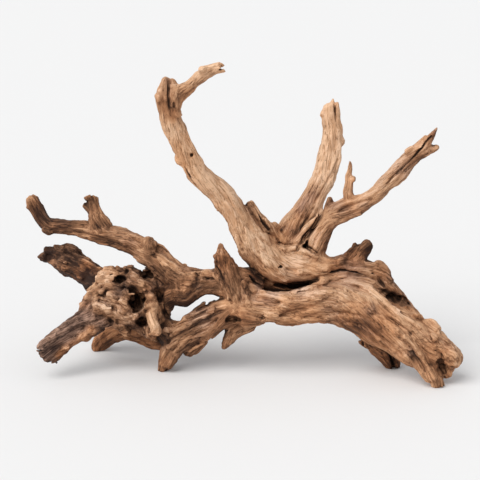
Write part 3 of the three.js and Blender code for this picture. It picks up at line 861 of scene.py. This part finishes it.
def follow(points, limbs, laid, block, joined):
    """The worn grain at any points: height, the way along it, how sure that is, and the looks."""
    count = len(points)
    cell = np.rint((points - block.low) / block.step).astype(int)
    cell = np.clip(cell, 0, block.shape - 1)
    base = joined[tuple(cell.T)]
    height = np.zeros(count)
    total = np.full(count, 1e-9)
    best = np.zeros(count)
    grain = np.zeros((count, 3))
    looks = np.zeros((count, 5))
    for limb, (span, distance, nearest) in zip(limbs, laid):
        low = np.array([c.start for c in span])
        high = np.array([c.stop for c in span])
        rows = np.nonzero(((cell >= low) & (cell < high)).all(1))[0]
        local = tuple((cell[rows] - low).T)
        piece = nearest[local]
        gap = distance[local] - base[rows]
        keep = (piece >= 0) & (gap < LOOKS_REACH)
        rows, piece, gap = rows[keep], piece[keep], gap[keep]
        if not len(rows):
            continue
        here = points[rows]
        _, wide, deep, along, girth = limb.measure(*here.T, piece)
        rise, first, second = relief(limb, here, wide, deep, along, girth)
        share = np.exp(-gap / LOOKS_BLEND)
        height[rows] += share * rise
        total[rows] += share
        looks[rows] += share[:, None] * np.array(limb.look)
        nearer = share > best[rows]
        chosen = rows[nearer]
        best[chosen] = share[nearer]
        way = np.stack([first + COLOUR_SHIFT * limb.seed, second, along], axis=1)
        grain[chosen] = way[nearer]
    sure = np.clip(best / total * 2 - 1, 0, 1)
    return height / total, grain, sure, looks / total[:, None]


def along_marks(block, rows):
    """For each mark, its points on the wood, the way into the wood there, and its two sizes."""
    found = []
    for first, second, *places in rows:
        points = on_wood(dense(np.reshape(places, (-1, 2)), 1.0), block)
        if len(points) > 1:
            found.append((points, -block.outward(points), first, second))
    return found


def single_marks(block, rows):
    """For each mark at one place, its point on the wood and its sizes."""
    found = [(on_wood([row[:2]], block), row[2:]) for row in rows]
    return [(points[0], sizes) for points, sizes in found if len(points)]


def tube(block, points, ways, radii, lengths, round_it=5.0):
    """The distance to a row of tapered pegs that start at the points and go along the ways."""
    tips = points + ways * lengths[:, None]
    margin = max(radii.max(), 0) + round_it
    low = np.minimum(points, tips).min(0) - margin
    high = np.maximum(points, tips).max(0) + margin
    whole = block.span(low, high)
    distance = far_off(whole)
    for point, way, radius, length in zip(points, ways, radii, lengths):
        tip = point + way * length
        span = block.span(np.minimum(point, tip) - margin, np.maximum(point, tip) + margin)
        here = inside(span, whole)
        x, y, z = block.places(span)
        rx, ry, rz = x - point[0], y - point[1], z - point[2]
        run = rx * way[0] + ry * way[1] + rz * way[2]
        held = np.clip(run, -3 if length else 0, length)
        away = np.sqrt(np.maximum(rx * rx + ry * ry + rz * rz - run * run, 0) + (run - held) ** 2)
        found = away - radius * (PEG_START - PEG_TAPER * np.maximum(held, 0) / max(length, 1))
        distance[here] = np.minimum(distance[here], found)
    return whole, distance


def gnarl(block):
    """Shifts the surface about, so that smooth limbs turn knotty and crooked."""
    band = np.nonzero(np.abs(block.field) < FAR - 2)
    points = block.low + np.stack(band, axis=1) * block.step
    x, y, z = points.T / 12
    shifts = [
        2.4 * rounded(broad, points, 33, way) + 1.0 * knobs(x, y + way, z) for way in (10, 50, 90)
    ]
    block.field[band] = block.read(points + np.stack(shifts, axis=1))


def join_limbs(block):
    """Joins all the limbs; gives them, and the cubes that each was laid in."""
    limbs = []
    for members, look in GROUPS:
        for name, stations in members.items():
            limbs.append(Limb(stations, OWN_LOOKS.get(name, look), len(limbs)))
    laid = [lay(limb, block) for limb in limbs]
    for limb, (span, distance, _) in zip(limbs, laid):
        block.field[span] = join(block.field[span], distance, limb.blend)
    return limbs, laid


def raise_strand(block, points, ways, radius, stand):
    """Adds a knot or strand that stands out of the wood."""
    sunk = points + ways * (radius - stand)
    sizes = np.full(len(points), radius), np.full(len(points), 1.0)
    span, distance = tube(block, sunk, ways, *sizes)
    block.field[span] = join(block.field[span], distance, STRAND_BLEND)


def press_furrow(block, points, ways, spread, depth):
    """Presses a soft furrow that fades out at both ends."""
    ends = np.minimum(np.arange(len(points)), np.arange(len(points))[::-1])
    short = -spread * np.clip(1 - ends / 6, 0, 1)
    deep = np.full(len(points), 2 * depth)
    span, distance = tube(block, points - ways, ways, short, deep, 2.2 * spread)
    block.field[span] += depth * np.exp(-((distance / spread) ** 2))


def open_crack(block, points, ways, half_width, depth):
    """Cuts a crack that narrows to both ends."""
    count = len(points)
    taper = np.sqrt(np.sin(np.pi * (np.arange(count) + 0.8) / (count + 0.6)))
    span, distance = tube(block, points, ways, half_width * taper, depth * taper)
    block.field[span] = cut(block.field[span], distance, CRACK_EDGE)


def open_hollow(block, point, half_width, half_height, depth):
    """Cuts a rounded, crooked hollow, straight away from the eye."""
    middle = point - BACK * 0.3 * depth
    reach = max(half_width, half_height, depth) * 1.4
    span = block.span(middle - reach, middle + reach)
    x, y, z = np.broadcast_arrays(*block.places(span))
    points = np.stack([x.ravel(), y.ravel(), z.ravel()], axis=1)
    rel = points - middle
    shift = warp(points[:, 0] / 7, points[:, 1] / 9, points[:, 2] / 7)
    size = np.sqrt(
        (rel[:, 0] / half_width) ** 2
        + ((rel @ UP) / half_height) ** 2
        + ((rel @ BACK) / depth) ** 2
    )
    gap = (size * (1 + 0.4 * shift) - 1) * min(half_width, half_height)
    gap = gap.reshape(x.shape).astype(np.float32)
    block.field[span] = cut(block.field[span], gap, HOLLOW_EDGE)


def shape_wood(block):
    """Joins the limbs, opens the splits and hollows, wears the grain in, and cuts the feet flat."""
    limbs, laid = join_limbs(block)
    joined = block.field.copy()
    gnarl(block)
    knotted = block.field.copy()

    cracks, furrows, strands = (along_marks(block, rows) for rows in (CRACKS, FURROWS, STRANDS))
    hollows, tone_and_shade_patches = (single_marks(block, rows) for rows in (HOLLOWS, TONE_AND_SHADE_PATCHES))
    for strand in strands:
        raise_strand(block, *strand)
    for furrow in furrows:
        press_furrow(block, *furrow)
    for stations in SPLITS.values():
        span, distance, _ = lay(Limb(stations, None, 0), block)
        block.field[span] = cut(block.field[span], distance, SPLIT_EDGE)
    for crack in cracks:
        open_crack(block, *crack)
    for point, sizes in hollows:
        open_hollow(block, point, *sizes)

    band = np.nonzero(np.abs(block.field) < BAND)
    points = block.low + np.stack(band, axis=1) * block.step
    height = follow(points, limbs, laid, block, joined)[0]
    opened = np.clip(block.field[band] - knotted[band], 0, 1.5) / 1.5
    block.field[band] -= height * (1 - 0.6 * opened)
    ground = block.places(tuple(slice(0, n) for n in block.shape))[2]
    block.field = np.maximum(block.field, -ground)
    return limbs, laid, joined, tone_and_shade_patches


def largest(faces, count):
    """Which faces belong to the largest connected sheet of a surface."""
    label = np.arange(count)
    while True:
        lowest = label[faces].min(axis=1)
        fresh = label.copy()
        for corner in range(faces.shape[1]):
            np.minimum.at(fresh, faces[:, corner], lowest)
        fresh = fresh[fresh]
        if (fresh == label).all():
            break
        label = fresh
    owner = label[faces[:, 0]]
    names, sizes = np.unique(owner, return_counts=True)
    return owner == names[sizes.argmax()]


def surface(block):
    """The skin of the wood as one closed mesh, in metres."""
    grid = openvdb.FloatGrid(FAR)
    grid.copyFromArray(np.ascontiguousarray(block.field))
    points, quads = grid.convertToQuads(0.0)
    quads = quads[largest(quads, len(points))]
    used, quads = np.unique(quads, return_inverse=True)
    quads = quads.reshape(-1, 4)
    points = (block.low + points[used] * block.step) / 1000
    corners = points[quads]
    flow = np.cross(corners[:, 2] - corners[:, 0], corners[:, 3] - corners[:, 1])
    if (corners.mean(axis=1) * flow).sum() < 0:
        quads = quads[:, ::-1]
    mesh = bpy.data.meshes.new("driftwood_skin")
    mesh.vertices.add(len(points))
    mesh.vertices.foreach_set("co", points.ravel().astype(np.float32))
    mesh.loops.add(quads.size)
    mesh.loops.foreach_set("vertex_index", quads.ravel().astype(np.int32))
    mesh.polygons.add(len(quads))
    mesh.polygons.foreach_set("loop_start", np.arange(0, quads.size, 4, dtype=np.int32))
    mesh.update(calc_edges=True)
    mesh.validate()
    skin = bpy.data.objects.new("driftwood_skin", mesh)
    bpy.context.scene.collection.objects.link(skin)
    thin = skin.modifiers.new("thin", "DECIMATE")
    thin.ratio = min(1.0, MOST_TRIANGLES / (2 * len(quads)))
    thin.use_collapse_triangulate = True
    graph = bpy.context.evaluated_depsgraph_get()
    plain = bpy.data.meshes.new_from_object(skin.evaluated_get(graph))
    bpy.data.objects.remove(skin)
    bpy.data.meshes.remove(mesh)
    return plain


def give(mesh, name, kind, values):
    """Stores a value at each point of the mesh, for its material to read."""
    field = "vector" if kind == "FLOAT_VECTOR" else "value"
    layer = mesh.attributes.new(name, kind, "POINT")
    layer.data.foreach_set(field, np.ascontiguousarray(values, np.float32).ravel())


def tint(mesh, block, limbs, laid, joined, tone_and_shade_patches):
    """Works out the grain and the tones of the wood at each point of its skin, with painted light
    and shade on its faces and in its hollows.
    """
    count = len(mesh.vertices)
    points = np.zeros(count * 3)
    mesh.vertices.foreach_get("co", points)
    points = points.reshape(-1, 3) * 1000
    normals = np.zeros(count * 3, np.float32)
    mesh.vertex_normals.foreach_get("vector", normals)
    normals = normals.reshape(-1, 3)
    height, grain, sure, looks = follow(points, limbs, laid, block, joined)
    # Painted shade: how closed in each point is, read from the field along its normal; the material
    # darkens hollows and creases with it.
    occlusion_shade = np.zeros(count)
    for reach in (4.0, 8.0, 12.0):
        open_way = block.read(points + normals * reach) / reach
        occlusion_shade += (1 - np.clip(open_way, -0.5, 1)) / 3
    pale, warm, grey = looks[:, 2:].T
    x, y, z = points.T
    mottle = rounded(stains, points, 45)
    small_mottle = rounded(stains, points, 14, 50)
    grey_mottle = stains(x / 30, y / 30 + 70, z / 30)
    rightward, _, upward = normals.T
    # Painted light and shade: faces turned up are painted paler and less warm, undersides darker
    # and warmer, and faces turned right darker, as the light falls from above and the left. The
    # grey on upward faces is weathering.
    pale = pale + 0.10 * mottle + 0.07 * small_mottle + 0.13 * upward - 0.05 * rightward
    warm = warm - 0.25 * mottle + 0.15 * small_mottle - 0.12 * upward
    grey = grey + 0.20 * grey_mottle + 0.10 * upward
    # Tone patches; the dark ones over hollows and splits are painted shade.
    for point, (radius, *changes) in tone_and_shade_patches:
        near = np.exp(-(((points - point) ** 2).sum(1) / radius**2))
        paler, warmer, greyer = (change / 100 for change in changes)
        pale = pale + paler * near
        warm = warm + warmer * near
        grey = grey + greyer * near
    give(mesh, "grain", "FLOAT_VECTOR", grain / 1000)
    give(mesh, "tone", "FLOAT_VECTOR", np.stack([pale, warm, grey], axis=1))
    # The relief height, the painted shade of hollows and creases, and how sure the grain's way is.
    give(mesh, "wear", "FLOAT_VECTOR", np.stack([height, occlusion_shade, sure], axis=1))


class Wire:
    """A socket that arithmetic can be written on: each operation adds a Math node."""

    def __init__(self, bench, socket):
        self.bench = bench
        self.socket = socket

    def __add__(self, other):
        return self.bench.math("ADD", self, other)

    __radd__ = __add__

    def __sub__(self, other):
        return self.bench.math("SUBTRACT", self, other)

    def __rsub__(self, other):
        return self.bench.math("SUBTRACT", other, self)

    def __mul__(self, other):
        return self.bench.math("MULTIPLY", self, other)

    __rmul__ = __mul__


class Bench:
    """Makes the nodes of one material."""

    def __init__(self, material):
        material.use_nodes = True
        self.tree = material.node_tree
        self.tree.nodes.clear()

    def node(self, kind, settings, values, output=0):
        """One node: its settings first, then the values or wires of its sockets."""
        made = self.tree.nodes.new(kind)
        for name, value in settings.items():
            if name == "stops":
                while len(made.color_ramp.elements) < len(value):
                    made.color_ramp.elements.new(0.5)
                for element, (place, colour) in zip(made.color_ramp.elements, value):
                    element.position = place
                    element.color = colour
            else:
                setattr(made, name, value)
        for name, value in values.items():
            socket = made.inputs[name]
            if isinstance(value, Wire):
                self.tree.links.new(value.socket, socket)
            else:
                socket.default_value = value
        return Wire(self, made.outputs[output]) if made.outputs else None

    def math(self, operation, *values):
        return self.node("ShaderNodeMath", {"operation": operation}, dict(enumerate(values)))

    def scaled(self, vector, scale):
        settings = {"operation": "MULTIPLY"}
        return self.node("ShaderNodeVectorMath", settings, {0: vector, 1: scale})

    def stored(self, name):
        """A value that the mesh carries at each of its points."""
        return self.node("ShaderNodeAttribute", {"attribute_name": name}, {}, "Vector")

    def parts(self, name):
        """A stored value's three numbers."""
        vector = self.stored(name)
        return [self.node("ShaderNodeSeparateXYZ", {}, {0: vector}, way) for way in range(3)]

    def noise(self, vector, detail, roughness):
        values = {"Vector": vector, "Scale": 1.0, "Detail": detail, "Roughness": roughness}
        return self.node("ShaderNodeTexNoise", {}, values)

    def ranged(self, value, low, high, to_low=0.0, to_high=1.0):
        """A value from one range stretched to another, and held inside it."""
        values = {0: value, 1: low, 2: high, 3: to_low, 4: to_high}
        return self.node("ShaderNodeMapRange", {"interpolation_type": "SMOOTHSTEP"}, values)

    def mixed(self, factor, first, second, how="MIX"):
        """Two colours mixed."""
        settings = {"data_type": "RGBA", "blend_type": how, "clamp_factor": True}
        return self.node("ShaderNodeMix", settings, {0: factor, 6: first, 7: second}, 2)


def bare_wood():
    """Dry, weathered wood: streaked along its grain, pale on its worn ridges, and darkened in its
    grooves and hollows with painted shade.
    """
    material = bpy.data.materials.new("bare_wood")
    bench = Bench(material)
    grain = bench.stored("grain")
    pale, warm, grey = bench.parts("tone")
    # The relief height, the painted shade of hollows and creases, and how sure the grain's way is.
    height, occlusion_shade, sure = bench.parts("wear")
    place = bench.node("ShaderNodeTexCoord", {}, {}, "Object")

    streaks = bench.noise(bench.scaled(grain, (330, 330, 22)), 5.0, 0.6)
    fibres = bench.noise(bench.scaled(grain, (900, 900, 45)), 3.0, 0.6)
    lines = bench.noise(bench.scaled(grain, (210, 210, 13)), 3.0, 0.5)
    dashes = bench.noise(bench.scaled(grain, (460, 460, 95)), 2.0, 0.55)
    blotches = bench.noise(bench.scaled(place, (38, 38, 38)), 4.0, 0.6)
    specks = bench.noise(bench.scaled(place, (360, 360, 360)), 2.0, 0.6)

    line = bench.ranged(bench.math("ABSOLUTE", lines - 0.5), 0.0, 0.024, 1.0, 0.0)
    fine_line = bench.ranged(bench.math("ABSOLUTE", streaks - 0.5), 0.0, 0.025, 1.0, 0.0)
    dash = bench.ranged(dashes, 0.60, 0.68)
    varied = 0.62 * (fibres - 0.5) + (1.15 - 0.70 * pale) * (streaks - 0.5)
    light = 0.07 + pale + varied + (0.80 - 0.45 * pale) * (blotches - 0.5)
    # Ridges paler and grooves darker: partly the wood's wear, partly painted shade in the grooves.
    # The lines and dashes are dark cracks in the grain.
    light = light + 0.065 * height - 0.24 * line * sure - 0.08 * fine_line - 0.20 * dash
    # Painted shade: darker where the skin is closed in.
    light = light - 0.34 * (occlusion_shade - 0.12)
    body = bench.node("ShaderNodeValToRGB", {"stops": WOOD_STOPS}, {0: light})
    warmth = bench.ranged(warm + 0.5 * (blotches - 0.5), 0.35, 0.95)
    orange = bench.mixed(warmth * 0.52, body, ORANGE, "MULTIPLY")
    faded = bench.ranged(grey + 0.5 * (streaks - 0.5), 0.15, 0.75)
    washed = {"Saturation": 0.55, "Value": 1.05, "Color": orange}
    dust = bench.node("ShaderNodeHueSaturation", {}, washed)
    cool = bench.mixed(1.0, dust, COOL, "MULTIPLY")
    weathered = bench.mixed(faded * 0.6, orange, cool)
    speck = bench.ranged(specks, 0.64, 0.71)
    dotted = bench.mixed(speck * 0.5, weathered, SPECK)
    # Painted shade: the most closed-in hollows are mixed towards near-black.
    hollow_shade = bench.ranged(occlusion_shade, 0.42, 0.95)
    final = bench.mixed(hollow_shade * 0.85, dotted, HOLLOW_PAINTED_SHADE)

    relief_now = streaks * 0.6 + fibres * 0.4 - line * sure * 0.6 - dash * 0.3
    bump = bench.node(
        "ShaderNodeBump",
        {},
        {"Strength": 0.75, "Distance": 0.0016, "Height": relief_now * (0.35 + 0.65 * sure)},
    )
    fine = bench.node(
        "ShaderNodeBump",
        {},
        {"Strength": 0.45, "Distance": 0.0010, "Height": specks + blotches, "Normal": bump},
    )
    rough = bench.ranged(streaks, 0.3, 0.7, 0.92, 0.74)
    finish = bench.node(
        "ShaderNodeBsdfPrincipled",
        {},
        {"Base Color": final, "Roughness": rough, "Specular IOR Level": 0.3, "Normal": fine},
    )
    bench.node("ShaderNodeOutputMaterial", {}, {"Surface": finish})
    return material


def pale_floor():
    """The plain floor's matt white."""
    material = bpy.data.materials.new("pale_floor")
    bench = Bench(material)
    finish = bench.node(
        "ShaderNodeBsdfPrincipled",
        {},
        {"Base Color": FLOOR, "Roughness": 0.9, "Specular IOR Level": 0.1},
    )
    bench.node("ShaderNodeOutputMaterial", {}, {"Surface": finish})
    return material


def set_stage():
    """The floor, the lights and the camera."""
    half = FLOOR_HALF
    mesh = bpy.data.meshes.new("floor")
    corners = [(-half, -half, 0), (half, -half, 0), (half, half, 0), (-half, half, 0)]
    mesh.from_pydata(corners, [], [(0, 1, 2, 3)])
    floor = bpy.data.objects.new("floor", mesh)
    floor.data.materials.append(pale_floor())
    bpy.context.scene.collection.objects.link(floor)

    world = bpy.data.worlds.new("studio")
    world.use_nodes = True
    sky = world.node_tree.nodes["Background"]
    sky.inputs["Color"].default_value = SKY
    sky.inputs["Strength"].default_value = SKY_STRENGTH
    bpy.context.scene.world = world

    lamp = bpy.data.lights.new("window_light", "SUN")
    lamp.energy = WINDOW_STRENGTH
    lamp.angle = WINDOW_SPREAD
    lamp.color = WINDOW
    window = bpy.data.objects.new("window_light", lamp)
    window.rotation_mode = "QUATERNION"
    window.rotation_quaternion = Vector(WINDOW_WAY).to_track_quat("-Z", "Y")
    bpy.context.scene.collection.objects.link(window)

    lens = bpy.data.cameras.new("view")
    lens.lens = FOCAL_LENGTH
    lens.sensor_width = SENSOR
    lens.clip_end = 100
    camera = bpy.data.objects.new("view", lens)
    camera.location = Vector(EYE / 1000)
    camera.rotation_mode = "QUATERNION"
    camera.rotation_quaternion = Vector(-BACK).to_track_quat("-Z", "Y")
    bpy.context.scene.collection.objects.link(camera)
    bpy.context.scene.camera = camera
    bpy.context.scene.view_settings.view_transform = "Standard"
    return floor


block = Block(BLOCK_LOW, BLOCK_HIGH, STEP)
limbs, laid, joined, tone_and_shade_patches = shape_wood(block)
skin = surface(block)
tint(skin, block, limbs, laid, joined, tone_and_shade_patches)
skin.materials.clear()
skin.materials.append(bare_wood())
skin.polygons.foreach_set("use_smooth", np.ones(len(skin.polygons), bool))
driftwood = bpy.data.objects.new("driftwood_wood", skin)
bpy.context.scene.collection.objects.link(driftwood)

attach(driftwood, "root")
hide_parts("driftwood")
set_stage()
